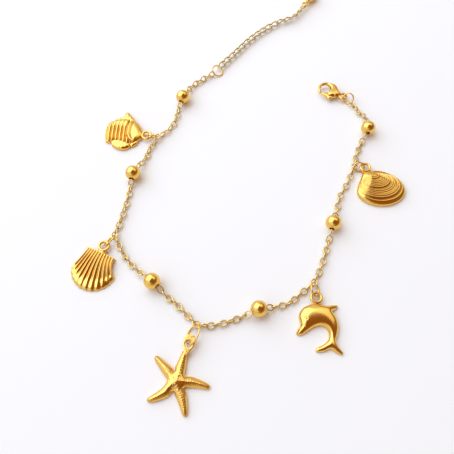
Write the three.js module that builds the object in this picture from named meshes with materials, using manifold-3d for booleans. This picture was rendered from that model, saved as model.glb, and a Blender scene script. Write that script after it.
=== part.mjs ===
// A charm anklet with sea creatures, lying open and flat: a fine cable chain with six round beads and five
// charms on jump rings, a lobster clasp at one end and an extender chain with a small drop at the other.
// Millimetres, +Z up. The anklet lies on z = 0, +Y runs from the starfish towards the two open ends.
import * as THREE from "three";
import { mergeVertices } from "three/addons/utils/BufferGeometryUtils.js";
import Module from "manifold-3d";

const wasm = await Module();
wasm.setup();

// ---- driving dimensions ----
const GAP = 0.3; // between neighbouring pieces
const BEAD = { radius: 2.0, recessRadius: 0.65, recessDepth: 0.6, sides: 14, arcSteps: 7 };
const CHAIN = { radius: 0.85, height: 0.95, step: 3.6, sides: 8, climb: 1.75 };
const EXTENDER = { radius: 1.15, height: 1.2, step: 5.6, sides: 8 };
const LINK = { halfLength: 0.98, halfWidth: 0.73, wire: 0.17 }; // a chain link that carries a jump ring
const RING = { wire: 0.2, steps: 18, sides: 6 };
const EYE = { radius: 1.2, wire: 0.3, steps: 16, sides: 6 }; // the eye soldered to a charm
const CHARM_EYE_HEIGHT = 0.95;

// ---- finish ----
const GOLD = new THREE.MeshStandardMaterial({ color: 0xd9a441, roughness: 0.22, metalness: 1 });
const CHAIN_GOLD = new THREE.MeshStandardMaterial({ color: 0xb79a62, roughness: 0.3, metalness: 1 });

// ---- places on the surface, from one open end of the anklet to the other ----
const BEADS = [
  { name: "bead_1", x: -12.8, y: 41.4, heading: -104 },
  { name: "bead_2", x: -25.0, y: 15.1, heading: -98 },
  { name: "bead_3", x: -17.8, y: -15.4, heading: -43 },
  { name: "bead_4", x: 7.4, y: -22.2, heading: 14 },
  { name: "bead_5", x: 26.8, y: 0.2, heading: 72 },
  { name: "bead_6", x: 39.5, y: 30.1, heading: 78 },
];

// Each jump ring passes through a chain link at link [x, y, z] and through its charm's eye at eye [x, y, z].
// roll turns the ring about the line between the two, away from lying flat.
const CHARM_RINGS = [
  { name: "fish_ring", link: [-19.4, 27.5, 1.4], eye: [-22.3, 28.3, 1.2], halfWidth: 1.2, roll: 63 },
  { name: "scallop_ring", link: [-28.2, -2.9, 1.0], eye: [-30.3, -5.5, 1.0], halfWidth: 1.05, roll: 48 },
  { name: "starfish_ring", link: [-6.9, -25.7, 1.2], eye: [-8.6, -30.2, 1.35], halfWidth: 1.7, roll: 39 },
  { name: "dolphin_ring", link: [20.7, -15.5, 1.25], eye: [21.0, -18.9, 1.15], halfWidth: 1.35, roll: -42 },
  { name: "clam_ring", link: [34.3, 17.7, 1.05], eye: [37.0, 17.6, 1.05], halfWidth: 1.2, roll: 44 },
];
// The jump rings at the two open ends: heading is the way that the ring's long axis points.
const END_RINGS = [
  { name: "clasp_ring", x: 35.4, y: 41.5, halfLength: 1.75, halfWidth: 1.55, roll: 50, heading: -30 },
  { name: "extender_ring", x: -2.9, y: 52.6, halfLength: 1.6, halfWidth: 1.6, roll: 30, heading: 50 },
];

// The chain between two of the places above, via the points that it passes on the surface.
const STRETCHES = [
  { from: "extender_ring", to: "bead_1", via: [[-5.4, 50.7], [-8.0, 48.7], [-10.4, 46.5]] },
  { from: "bead_1", to: "fish_ring", via: [[-14.1, 37.4], [-14.6, 34.4], [-16.1, 30.9]] },
  { from: "fish_ring", to: "bead_2", via: [[-21.2, 24.2], [-22.2, 21.0]] },
  { from: "bead_2", to: "scallop_ring", via: [[-25.5, 11.6], [-26.1, 7.4], [-26.9, 3.0]] },
  { from: "scallop_ring", to: "bead_3", via: [[-26.5, -6.2], [-24.8, -9.0], [-22.1, -11.8]] },
  { from: "bead_3", to: "starfish_ring", via: [[-14.7, -18.3], [-11.6, -21.0]] },
  { from: "starfish_ring", to: "bead_4", via: [[-3.8, -25.8], [-0.4, -25.1], [3.0, -23.9]] },
  { from: "bead_4", to: "dolphin_ring", via: [[11.6, -21.3], [14.6, -20.4], [17.0, -18.5]] },
  { from: "dolphin_ring", to: "bead_5", via: [[22.4, -12.3], [23.9, -8.6], [25.2, -4.8]] },
  { from: "bead_5", to: "clam_ring", via: [[28.4, 4.6], [29.6, 8.6], [31.8, 12.4]] },
  { from: "clam_ring", to: "bead_6", via: [[35.5, 21.8], [37.3, 25.8]] },
  { from: "bead_6", to: "clasp_ring", via: [[39.7, 34.4], [38.0, 36.9]] },
];
const EXTENDER_ROUTE = [
  [-1.8, 54.7], [1.9, 59.2], [6.3, 64.8], [10.8, 69.4],
  [15.8, 73.1], [20.2, 75.0], [22.5, 77.0], [24.7, 80.1],
];
const DROP = { x: 25.6, y: 81.4, heading: 57, radius: 1.5, length: 6.6, eyeRadius: 0.8, eyeWire: 0.28 };

// ---- solids ----
function solidOf(geometry) {
  const bare = geometry.index ? geometry.toNonIndexed() : geometry.clone();
  for (const name of Object.keys(bare.attributes)) {
    if (name !== "position") bare.deleteAttribute(name);
  }
  const merged = mergeVertices(bare, 1e-4);
  return new wasm.Manifold(
    new wasm.Mesh({
      numProp: 3,
      vertProperties: merged.attributes.position.array,
      triVerts: new Uint32Array(merged.index.array),
    }),
  );
}

function geometryOf(solid) {
  const mesh = solid.getMesh();
  const geometry = new THREE.BufferGeometry();
  geometry.setAttribute("position", new THREE.BufferAttribute(mesh.vertProperties, 3));
  geometry.setIndex(new THREE.BufferAttribute(mesh.triVerts, 1));
  return geometry;
}

function joined(geometries) {
  return geometryOf(geometries.map(solidOf).reduce((all, one) => all.add(one)));
}

function cut(geometry, cutters) {
  return geometryOf(cutters.map(solidOf).reduce((left, cutter) => left.subtract(cutter), solidOf(geometry)));
}

// A closed surface from rows of points: each row is a closed section, and both ends are fanned shut.
function loft(rows) {
  const count = rows[0].length;
  const positions = rows.flat().flatMap((p) => [p.x, p.y, p.z]);
  const indices = [];
  for (let row = 0; row + 1 < rows.length; row++) {
    for (let k = 0; k < count; k++) {
      const a = row * count + k;
      const b = row * count + ((k + 1) % count);
      indices.push(a, b, b + count, a, b + count, a + count);
    }
  }
  const fan = (row, turned) => {
    const centre = new THREE.Vector3();
    rows[row].forEach((p) => centre.addScaledVector(p, 1 / count));
    const hub = positions.length / 3;
    positions.push(centre.x, centre.y, centre.z);
    for (let k = 0; k < count; k++) {
      const a = row * count + k;
      const b = row * count + ((k + 1) % count);
      indices.push(...(turned ? [hub, b, a] : [hub, a, b]));
    }
  };
  fan(0, true);
  fan(rows.length - 1, false);
  const geometry = new THREE.BufferGeometry();
  geometry.setAttribute("position", new THREE.Float32BufferAttribute(positions, 3));
  geometry.setIndex(indices);
  return geometry;
}

// An oval of round wire in the XY plane, long along X.
function oval({ halfLength, halfWidth, wire, steps, sides }) {
  const positions = [];
  const indices = [];
  for (let i = 0; i < steps; i++) {
    const t = (i / steps) * 2 * Math.PI;
    const out = new THREE.Vector2(halfWidth * Math.cos(t), halfLength * Math.sin(t)).normalize();
    for (let k = 0; k < sides; k++) {
      const s = ((k + 0.5) / sides) * 2 * Math.PI;
      positions.push(
        halfLength * Math.cos(t) + wire * Math.cos(s) * out.x,
        halfWidth * Math.sin(t) + wire * Math.cos(s) * out.y,
        wire * Math.sin(s),
      );
      const next = (i + 1) % steps;
      const side = (k + 1) % sides;
      const [a, b, c, d] = [i * sides + k, next * sides + k, next * sides + side, i * sides + side];
      indices.push(a, b, c, a, c, d);
    }
  }
  const geometry = new THREE.BufferGeometry();
  geometry.setAttribute("position", new THREE.Float32BufferAttribute(positions, 3));
  geometry.setIndex(indices);
  return geometry;
}

// A strip with a flat underside and a rounded top, along stations of half width and height.
const STRIP_ARC_STEPS = 6;
function domedStrip(stations) {
  const rows = stations.map((station, i) => {
    const before = stations[Math.max(i - 1, 0)];
    const after = stations[Math.min(i + 1, stations.length - 1)];
    const across = new THREE.Vector2(before.y - after.y, after.x - before.x).normalize();
    const base = station.base ?? 0;
    const row = [];
    for (let k = 0; k <= STRIP_ARC_STEPS; k++) {
      const t = (k / STRIP_ARC_STEPS) * Math.PI;
      const offset = -station.half * Math.cos(t);
      const edge = base + 0.35 * station.height;
      row.push(
        new THREE.Vector3(
          station.x + offset * across.x,
          station.y + offset * across.y,
          edge + 0.65 * station.height * Math.sin(t),
        ),
      );
    }
    for (const side of [1, -1]) {
      row.push(
        new THREE.Vector3(
          station.x + side * station.half * across.x,
          station.y + side * station.half * across.y,
          base,
        ),
      );
    }
    return row.reverse();
  });
  return loft(rows);
}

// Points along an arc, with its angles in degrees.
function arcPoints(x, y, radius, from, to, steps) {
  const points = [];
  for (let i = 0; i <= steps; i++) {
    const t = THREE.MathUtils.degToRad(THREE.MathUtils.lerp(from, to, i / steps));
    points.push([x + radius * Math.cos(t), y + radius * Math.sin(t)]);
  }
  return points;
}

// A flat plate of an outline, standing on z = base.
function plate(points, thickness, base = 0) {
  const shape = new THREE.Shape(points.map(([x, y]) => new THREE.Vector2(x, y)));
  return new THREE.ExtrudeGeometry(shape, { depth: thickness, bevelEnabled: false }).translate(0, 0, base);
}

// A flat-backed relief: rim(t) walks once round the outline, and rings step in from it to a middle point.
function relief({ rim, middle, height, spokes, rings }) {
  const flatRow = [];
  const rows = [];
  for (let k = 0; k < spokes; k++) {
    const [x, y] = rim(k / spokes);
    flatRow.push(new THREE.Vector3(x, y, 0));
  }
  rows.push(flatRow);
  for (let r = 0; r < rings; r++) {
    const inward = r / rings;
    rows.push(
      flatRow.map((p) => {
        const x = THREE.MathUtils.lerp(p.x, middle[0], inward);
        const y = THREE.MathUtils.lerp(p.y, middle[1], inward);
        return new THREE.Vector3(x, y, height(x, y, 1 - inward));
      }),
    );
  }
  return loft(rows);
}

function eyeAt(x, y, z = CHARM_EYE_HEIGHT) {
  return oval({ ...EYE, halfLength: EYE.radius, halfWidth: EYE.radius }).translate(x, y, z);
}

// ---- beads and chain ----
function beadGeometry() {
  const { radius, recessRadius, recessDepth, sides, arcSteps } = BEAD;
  const face = Math.sqrt(radius ** 2 - recessRadius ** 2);
  const profile = [new THREE.Vector2(0, recessDepth - face)];
  profile.push(new THREE.Vector2(recessRadius, recessDepth - face));
  const start = Math.asin(recessRadius / radius);
  for (let i = 0; i <= arcSteps; i++) {
    const angle = THREE.MathUtils.lerp(start, Math.PI - start, i / arcSteps);
    profile.push(new THREE.Vector2(radius * Math.sin(angle), -radius * Math.cos(angle)));
  }
  profile.push(new THREE.Vector2(recessRadius, face - recessDepth));
  profile.push(new THREE.Vector2(0, face - recessDepth));
  return new THREE.LatheGeometry(profile, sides).rotateZ(-Math.PI / 2);
}

function tubeAlong(points, { radius, sides, step }) {
  const curve = new THREE.CatmullRomCurve3(points);
  const section = new THREE.Shape();
  for (let k = 0; k < sides; k++) {
    const t = ((k + 0.5) / sides) * 2 * Math.PI;
    const corner = [radius * Math.cos(t), radius * Math.sin(t)];
    if (k === 0) section.moveTo(...corner);
    else section.lineTo(...corner);
  }
  section.closePath();
  const steps = Math.max(2, Math.round(curve.getLength() / step));
  return new THREE.ExtrudeGeometry(section, { steps, extrudePath: curve, bevelEnabled: false });
}

// Where a stretch of chain meets a bead, a link that carries a ring, or a ring at an open end.
function stretchEnd(place, towards) {
  const bead = BEADS.find((one) => one.name === place);
  const charmRing = CHARM_RINGS.find((one) => one.name === place);
  const endRing = END_RINGS.find((one) => one.name === place);
  const [x, y] = charmRing ? charmRing.link : [(bead ?? endRing).x, (bead ?? endRing).y];
  let reach = LINK.halfLength + LINK.wire + GAP;
  if (bead) reach = BEAD.radius + GAP;
  if (endRing) reach = endRing.halfWidth + RING.wire + GAP;
  const away = new THREE.Vector2(towards[0] - x, towards[1] - y).normalize();
  return new THREE.Vector3(x + reach * away.x, y + reach * away.y, bead ? CHAIN.climb : CHAIN.height);
}

function stretchGeometry({ from, to, via }) {
  const points = via.map(([x, y]) => new THREE.Vector3(x, y, CHAIN.height));
  points.unshift(stretchEnd(from, via[0]));
  points.push(stretchEnd(to, via.at(-1)));
  return tubeAlong(points, CHAIN);
}

// A ring through two places, turned by roll about the line between them.
function ringBetween(start, end, halfWidth, roll) {
  const along = end.clone().sub(start);
  const geometry = oval({ ...RING, halfLength: along.length() / 2, halfWidth });
  geometry.rotateX(THREE.MathUtils.degToRad(roll));
  const flat = new THREE.Vector3(along.x, along.y, 0).normalize();
  const level = new THREE.Vector3(-flat.y, flat.x, 0);
  const forward = along.clone().normalize();
  const basis = new THREE.Matrix4().makeBasis(forward, level, forward.clone().cross(level));
  geometry.applyMatrix4(basis);
  const middle = start.clone().add(end).multiplyScalar(0.5);
  return geometry.translate(middle.x, middle.y, middle.z);
}

function charmRingGeometry(ring) {
  const [start, end] = [ring.link, ring.eye].map((place) => new THREE.Vector3(...place));
  return ringBetween(start, end, ring.halfWidth, ring.roll);
}

function endRingGeometry(ring) {
  const height = ring.halfWidth * Math.sin(THREE.MathUtils.degToRad(ring.roll)) + RING.wire;
  const heading = THREE.MathUtils.degToRad(ring.heading);
  const along = new THREE.Vector3(Math.cos(heading), Math.sin(heading), 0).multiplyScalar(ring.halfLength);
  const middle = new THREE.Vector3(ring.x, ring.y, height);
  return ringBetween(middle.clone().sub(along), middle.clone().add(along), ring.halfWidth, ring.roll);
}

// The chain link that a charm's ring passes through, lying level along the chain.
function carrierLinkGeometry(ring) {
  const before = STRETCHES.find((one) => one.to === ring.name).via.at(-1);
  const after = STRETCHES.find((one) => one.from === ring.name).via[0];
  const heading = Math.atan2(after[1] - before[1], after[0] - before[0]);
  return oval({ ...LINK, steps: 12, sides: 6 }).rotateZ(heading).translate(...ring.link);
}

// ---- charms, each in its own frame with the eye at the origin and the body towards -Y ----
const FISH = { x: -22.5, y: 28.35, turn: -11 };
const SCALLOP = { x: -30.5, y: -5.8, turn: -18, ribs: 11, hinge: 3.8, radius: 5.4, crown: 1.9, edge: 0.7 };
const STARFISH = { x: -11.0, y: -38.1 };
const DOLPHIN = { x: 21.0, y: -19.2 };
const CLAM = { x: 37.3, y: 17.5, crown: 2.3, edge: 0.6 };

// A deep-bodied striped fish, seen from its side. +X runs from the tail to the nose. The numbers are measured
// from the nose, and eyeReach is how far in front of it the eye is soldered on.
function fishGeometry() {
  const eyeReach = 1.15;
  const finThickness = 0.95;
  const bodyStations = [
    { x: -0.2, y: 0.0, half: 0.55, height: 1.0 },
    { x: -1.0, y: 0.1, half: 2.2, height: 1.5 },
    { x: -2.2, y: 0.1, half: 3.2, height: 1.8 },
    { x: -4.0, y: 0.1, half: 3.8, height: 1.9 },
    { x: -6.2, y: 0.0, half: 3.8, height: 1.9 },
    { x: -8.2, y: -0.3, half: 3.4, height: 1.6 },
    { x: -9.0, y: -0.6, half: 3.1, height: 1.2 },
    { x: -10.2, y: -0.9, half: 3.4, height: 0.9 },
  ];
  const neckStations = [
    { x: -0.9, y: 0.0, half: 0.7, height: 1.25 },
    { x: 0.1, y: 0.0, half: 0.45, height: 1.25 },
  ];
  const dorsalFin = [
    [-1.6, 2.6], [-3.4, 4.3], [-5.3, 6.2], [-6.2, 6.9], [-6.8, 6.6], [-7.0, 5.0], [-9.0, 3.6], [-8.6, 2.0],
  ];
  const ventralFin = [
    [-7.6, -2.6], [-7.9, -4.5], [-6.6, -5.4], [-4.6, -5.8], [-3.2, -5.2], [-2.4, -4.2], [-2.4, -2.6],
  ];
  const chinFin = [[-2.6, -2.2], [-2.2, -3.9], [-1.6, -4.0], [-0.8, -2.4], [-1.0, -1.2]];
  return joined([
    domedStrip(bodyStations),
    domedStrip(neckStations),
    ...[dorsalFin, ventralFin, chinFin].map((outline) => plate(outline, finThickness)),
    eyeAt(eyeReach, 0),
  ]).translate(-eyeReach, 0, 0);
}

// A flat-backed sheet over a grid: top(u, v) is its upper face for u from -1 to 1 and v from 0 to 1.
function gridRelief(top, across, down) {
  const rows = [];
  for (let j = 0; j <= down; j++) {
    const upper = [];
    for (let i = across; i >= 0; i--) upper.push(top((2 * i) / across - 1, j / down));
    const under = upper.map((p) => new THREE.Vector3(p.x, p.y, 0));
    rows.push([...upper, ...under.reverse()]);
  }
  return loft(rows);
}

// A ribbed fan: u runs across the ribs, v from the hinge at 0 to the free edge at 1.
function scallopGeometry() {
  const { ribs, hinge, radius, crown, edge } = SCALLOP;
  const hingeY = -2.1;
  const centre = [0.2, -6.6];
  const fanHalf = THREE.MathUtils.degToRad(102);
  const grooveDepth = 0.35;
  const scallopDepth = 0.25;
  const top = (u, v) => {
    const angle = u * fanHalf;
    const groove = 1 - Math.abs(Math.cos(((u + 1) / 2) * ribs * Math.PI));
    const reach = radius - scallopDepth * groove;
    const x = THREE.MathUtils.lerp(hinge * u, centre[0] + reach * Math.sin(angle), v);
    const y = THREE.MathUtils.lerp(hingeY, centre[1] - reach * Math.cos(angle), v);
    const dome = Math.sin(Math.PI * Math.min(1, 0.2 + 0.8 * v)) * (1 - 0.5 * u * u);
    const ribbed = Math.min(1, 4 * v * (1 - v) + 0.2);
    return new THREE.Vector3(x, y, edge + (crown - edge) * dome - grooveDepth * groove * ribbed);
  };
  const neck = domedStrip([
    { x: 0, y: -2.9, half: 1.0, height: 1.3 },
    { x: 0, y: -1.1, half: 0.6, height: 1.2 },
  ]);
  return joined([gridRelief(top, 2 * ribs, 4), neck, eyeAt(0, 0)]);
}

// Five tapered arms. Here the origin is the middle of the star.
const ARMS = [
  { name: "left upper", angle: 133, length: 7.3, bend: 0 },
  { name: "left lower", angle: 213, length: 7.2, bend: 0.5 },
  { name: "lower", angle: 287, length: 7.4, bend: 0.2 },
  { name: "right", angle: -10, length: 7.3, bend: 0.4 },
];
const LONG_ARM = { angle: 76, tongueHalf: 1.3, tongueEnd: 1.0, tongueThickness: 0.5, holeRadius: 0.9 };

const ARM_SECTIONS = [
  { share: 0, half: 1.9, height: 2.0 },
  { share: 0.3, half: 1.45, height: 1.75 },
  { share: 0.6, half: 1.15, height: 1.5 },
  { share: 0.85, half: 0.95, height: 1.25 },
  { share: 1, half: 0.45, height: 0.8 },
];

function armStations({ angle, length, bend }) {
  const turn = THREE.MathUtils.degToRad(angle);
  return ARM_SECTIONS.map(({ share, half, height }) => {
    const side = bend * Math.sin(Math.PI * share);
    const reach = length * share;
    const x = reach * Math.cos(turn) - side * Math.sin(turn);
    const y = reach * Math.sin(turn) + side * Math.cos(turn);
    return { x, y, half, height };
  });
}

function starfishGeometry() {
  const turn = THREE.MathUtils.degToRad(LONG_ARM.angle);
  const at = (reach) => ({ x: reach * Math.cos(turn), y: reach * Math.sin(turn) });
  const longArm = [
    { ...at(0), half: 1.9, height: 2.0 },
    { ...at(2.2), half: 1.45, height: 1.8 },
    { ...at(5.0), half: 1.1, height: 1.7 },
    { ...at(6.7), half: 1.0, height: 1.65 },
  ];
  const [eyeX, eyeY, eyeZ] = CHARM_RINGS.find((one) => one.name === "starfish_ring").eye;
  const hole = { x: eyeX - STARFISH.x, y: eyeY - STARFISH.y };
  const tongueRoot = at(5.4);
  const tongue = [
    ...arcPoints(
      hole.x + LONG_ARM.tongueEnd * Math.cos(turn),
      hole.y + LONG_ARM.tongueEnd * Math.sin(turn),
      LONG_ARM.tongueHalf,
      LONG_ARM.angle - 90,
      LONG_ARM.angle + 90,
      8,
    ),
    [tongueRoot.x - Math.sin(turn), tongueRoot.y + Math.cos(turn)],
    [tongueRoot.x + Math.sin(turn), tongueRoot.y - Math.cos(turn)],
  ];
  const drill = new THREE.CylinderGeometry(LONG_ARM.holeRadius, LONG_ARM.holeRadius, 4, 14)
    .rotateX(Math.PI / 2)
    .translate(hole.x, hole.y, eyeZ);
  const star = joined([
    ...ARMS.map((arm) => domedStrip(armStations(arm))),
    domedStrip(longArm),
    plate(tongue, LONG_ARM.tongueThickness, eyeZ - LONG_ARM.tongueThickness / 2),
  ]);
  return cut(star, [drill]);
}

// A leaping dolphin: the beak at the lower left, the back over the top, the flukes at the lower right.
function dolphinGeometry() {
  const body = [
    { x: -3.8, y: -6.9, half: 1.0, height: 1.3 },
    { x: -3.1, y: -5.3, half: 1.75, height: 1.9 },
    { x: -1.5, y: -4.2, half: 2.35, height: 2.4 },
    { x: 0.6, y: -4.1, half: 2.4, height: 2.5 },
    { x: 2.3, y: -5.0, half: 1.9, height: 2.3 },
    { x: 3.3, y: -6.8, half: 1.4, height: 1.9 },
    { x: 3.3, y: -8.7, half: 1.05, height: 1.5 },
    { x: 2.8, y: -10.4, half: 0.9, height: 1.2 },
    { x: 2.6, y: -11.3, half: 0.9, height: 1.0 },
  ];
  const beak = [
    { x: -3.5, y: -6.4, half: 0.95, height: 1.3 },
    { x: -4.4, y: -7.9, half: 0.65, height: 1.1 },
    { x: -4.8, y: -8.5, half: 0.45, height: 0.8 },
  ];
  const leftFluke = [
    { x: 3.0, y: -11.0, half: 0.8, height: 1.0 },
    { x: 1.2, y: -11.7, half: 0.75, height: 0.9 },
    { x: -0.8, y: -12.1, half: 0.35, height: 0.7 },
  ];
  const rightFluke = [
    { x: 2.5, y: -10.8, half: 0.8, height: 1.0 },
    { x: 3.8, y: -11.8, half: 0.75, height: 0.9 },
    { x: 5.0, y: -12.9, half: 0.3, height: 0.7 },
  ];
  const fin = [
    { x: 1.4, y: -3.3, half: 1.5, height: 1.6 },
    { x: 3.2, y: -2.5, half: 0.7, height: 1.2 },
    { x: 4.9, y: -1.9, half: 0.3, height: 0.8 },
  ];
  const neck = domedStrip([
    { x: 0, y: -2.6, half: 1.2, height: 1.6 },
    { x: 0, y: -1.1, half: 0.8, height: 1.3 },
  ]);
  return joined([...[body, beak, leftFluke, rightFluke, fin].map(domedStrip), neck, eyeAt(0, 0, 1.05)]);
}

// A clam: an oval with its beak at the upper left. The ridges are the same oval shrunk towards the beak.
function clamGeometry() {
  const centre = [3.6, -6.5];
  const halfLength = 6.4;
  const halfWidth = 5.3;
  const lean = THREE.MathUtils.degToRad(-12);
  const beakAngle = 2.2;
  const rim = (t) => {
    const angle = t * 2 * Math.PI;
    const swell = 1 + 0.05 * Math.exp(-(((angle - beakAngle) / 0.45) ** 2));
    const along = swell * halfLength * Math.cos(angle);
    const across = swell * halfWidth * Math.sin(angle);
    return [
      centre[0] + along * Math.cos(lean) - across * Math.sin(lean),
      centre[1] + along * Math.sin(lean) + across * Math.cos(lean),
    ];
  };
  const { crown, edge } = CLAM;
  const shell = relief({
    rim,
    middle: [centre[0] - 0.8, centre[1] + 0.8],
    height: (x, y, share) => edge + (crown - edge) * Math.sqrt(Math.max(0, 1 - share ** 2.4)),
    spokes: 30,
    rings: 6,
  });
  const neck = domedStrip([
    { x: 0.4, y: -3.0, half: 1.3, height: 1.4 },
    { x: 0.0, y: -1.1, half: 0.8, height: 1.25 },
  ]);
  return joined([shell, neck, eyeAt(0, 0)]);
}

// ---- lobster clasp: the eye at the origin, the hook towards +X, the lever on the +Y side ----
const CLASP = {
  x: 34.0, y: 42.3, heading: 150,
  thickness: 2.4, bevel: 0.45, eyeRadius: 0.95, eyeWire: 0.34,
  hookX: 5.7, hookInner: 1.2, hookOuter: 2.15,
  slot: 1.4, slotReach: 2.9, mouthReach: 3.95,
};
const LEVER = {
  x: 2.4, y: 0.95,
  thickness: 1.0, reach: 3.8, rootRadius: 0.8, boreRadius: 0.44, pinRadius: 0.3,
};

function claspBodyGeometry() {
  const { hookX, hookInner, hookOuter, thickness, bevel, slot, slotReach, mouthReach } = CLASP;
  const outline = [
    [0.9, -0.1], [1.8, -0.6], [2.7, -1.55], [3.7, -2.1], [4.8, -2.0],
    ...arcPoints(hookX, 0, hookOuter - bevel, -80, 100, 12),
    [4.2, 2.0], [3.2, 1.8], [2.0, 1.05], [0.9, 0.15],
  ];
  const shape = new THREE.Shape(outline.map(([x, y]) => new THREE.Vector2(x, y)));
  const body = new THREE.ExtrudeGeometry(shape, {
    depth: thickness - 2 * bevel,
    bevelSize: bevel,
    bevelThickness: bevel,
    bevelSegments: 2,
  }).translate(0, 0, bevel);
  const through = (points) => plate(points, 2 * thickness, -thickness / 2);
  const layer = (points) => plate(points, slot, (thickness - slot) / 2);
  const hole = through(arcPoints(hookX, 0, hookInner, 0, 342, 19));
  const mouth = through([
    ...arcPoints(LEVER.x, LEVER.y, 2.25, 62, -10, 5),
    ...arcPoints(LEVER.x, LEVER.y, mouthReach, -10, 50, 8),
  ]);
  const pocket = layer([
    ...arcPoints(LEVER.x, LEVER.y, LEVER.rootRadius + 0.2, 130, 290, 10),
    ...arcPoints(LEVER.x, LEVER.y, slotReach, -46, 75, 8),
  ]);
  const middle = thickness / 2;
  const eye = oval({
    halfLength: CLASP.eyeRadius,
    halfWidth: CLASP.eyeRadius,
    wire: CLASP.eyeWire,
    steps: 14,
    sides: 6,
  }).translate(0, 0, middle);
  const pin = new THREE.CylinderGeometry(LEVER.pinRadius, LEVER.pinRadius, thickness - 0.6, 12)
    .rotateX(Math.PI / 2)
    .translate(LEVER.x, LEVER.y, middle);
  const hollow = cut(body, [hole, mouth, pocket]);
  return joined([hollow, pin, eye]);
}

function claspLeverGeometry() {
  const { x, y, reach, rootRadius, boreRadius, thickness } = LEVER;
  const { hookX, hookInner } = CLASP;
  const outline = [
    ...arcPoints(x, y, rootRadius, 120, 300, 8),
    ...arcPoints(hookX, 0, hookInner + 0.15, 152, 76, 6),
    ...arcPoints(x, y, reach, 5.5, 15.5, 2),
    [4.9, 2.3], [3.9, 2.5], [3.5, 3.0], [3.0, 3.0], [2.7, 2.2],
  ];
  const lever = plate(outline, thickness, (CLASP.thickness - thickness) / 2);
  const bore = new THREE.CylinderGeometry(boreRadius, boreRadius, 4, 16)
    .rotateX(Math.PI / 2)
    .translate(x, y, CLASP.thickness / 2);
  return cut(lever, [bore]);
}

// ---- the drop at the end of the extender: a small teardrop with its own eye ----
function dropGeometry() {
  const { radius, length, eyeRadius, eyeWire } = DROP;
  const profile = [
    [0, 0.4], [0.45, 0.5], [0.6, 1.4], [1.05, 2.8], [1.45, 4.2],
    [radius, 4.9], [1.25, 5.9], [0.7, 6.4], [0, length],
  ].map(([r, along]) => new THREE.Vector2(r, along));
  const body = new THREE.LatheGeometry(profile, 12).rotateZ(-Math.PI / 2).translate(0.3, 0, radius);
  const eye = oval({ halfLength: eyeRadius, halfWidth: eyeRadius, wire: eyeWire, steps: 12, sides: 6 })
    .translate(0, 0, radius);
  return joined([body, eye]);
}

// ---- assembly ----
const anklet = new THREE.Group();

function place(name, geometry, { x = 0, y = 0, z = 0, turn = 0 } = {}, material = GOLD) {
  const mesh = new THREE.Mesh(geometry, material);
  mesh.name = name;
  mesh.position.set(x, y, z);
  mesh.rotation.z = THREE.MathUtils.degToRad(turn);
  anklet.add(mesh);
}

BEADS.forEach((bead) => place(bead.name, beadGeometry(), { ...bead, z: BEAD.radius, turn: bead.heading }));
STRETCHES.forEach((stretch, i) => place(`chain_${i + 1}`, stretchGeometry(stretch), {}, CHAIN_GOLD));
CHARM_RINGS.forEach((ring, i) => {
  place(ring.name, charmRingGeometry(ring));
  place(`charm_link_${i + 1}`, carrierLinkGeometry(ring), {}, CHAIN_GOLD);
});
END_RINGS.forEach((ring) => place(ring.name, endRingGeometry(ring)));
const extenderPoints = EXTENDER_ROUTE.map(([x, y]) => new THREE.Vector3(x, y, EXTENDER.height));
place("extender_chain", tubeAlong(extenderPoints, EXTENDER), {}, CHAIN_GOLD);
place("extender_drop", dropGeometry(), { ...DROP, turn: DROP.heading });
place("fish_charm", fishGeometry(), { x: FISH.x, y: FISH.y, turn: FISH.turn });
place("scallop_charm", scallopGeometry(), SCALLOP);
place("starfish_charm", starfishGeometry(), STARFISH);
place("dolphin_charm", dolphinGeometry(), DOLPHIN);
place("clam_charm", clamGeometry(), CLAM);
place("clasp_body", claspBodyGeometry(), { ...CLASP, turn: CLASP.heading });
place("clasp_lever", claspLeverGeometry(), { x: CLASP.x, y: CLASP.y, turn: CLASP.heading });

// The origin is the middle of the anklet's box, on the surface that it lies on.
anklet.updateMatrixWorld(true);
const box = new THREE.Box3().setFromObject(anklet, true);
anklet.position.set(-(box.min.x + box.max.x) / 2, -(box.min.y + box.max.y) / 2, -box.min.z);

export default anklet;
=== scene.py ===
"""The looks of an open charm anklet: cable chain links, beads, charms, jump rings and a lobster clasp.

Lengths are in millimetres in the layout's own sheet coordinates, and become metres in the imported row's
frame when a piece is made. The sheet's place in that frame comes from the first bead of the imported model.
"""
import math

import bpy
import numpy as np
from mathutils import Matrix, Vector, noise
from mathutils.geometry import delaunay_2d_cdt


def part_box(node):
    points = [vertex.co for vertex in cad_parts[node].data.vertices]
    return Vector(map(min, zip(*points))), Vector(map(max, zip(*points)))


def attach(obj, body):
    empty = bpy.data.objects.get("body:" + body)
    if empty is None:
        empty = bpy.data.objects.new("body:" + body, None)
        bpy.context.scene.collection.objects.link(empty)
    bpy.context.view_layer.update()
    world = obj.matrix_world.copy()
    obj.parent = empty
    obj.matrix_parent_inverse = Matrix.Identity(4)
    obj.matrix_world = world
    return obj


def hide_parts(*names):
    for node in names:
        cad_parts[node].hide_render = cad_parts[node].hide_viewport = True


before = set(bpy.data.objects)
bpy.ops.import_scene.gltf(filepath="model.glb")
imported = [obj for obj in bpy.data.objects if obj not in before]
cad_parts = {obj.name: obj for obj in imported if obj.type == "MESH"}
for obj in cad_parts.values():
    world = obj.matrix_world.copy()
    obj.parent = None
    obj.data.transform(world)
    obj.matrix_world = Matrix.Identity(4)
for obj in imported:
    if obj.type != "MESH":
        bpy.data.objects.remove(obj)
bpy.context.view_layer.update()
MM = 0.001
ANKLET = "anklet"
LEVER_BODY = "lever"

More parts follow.
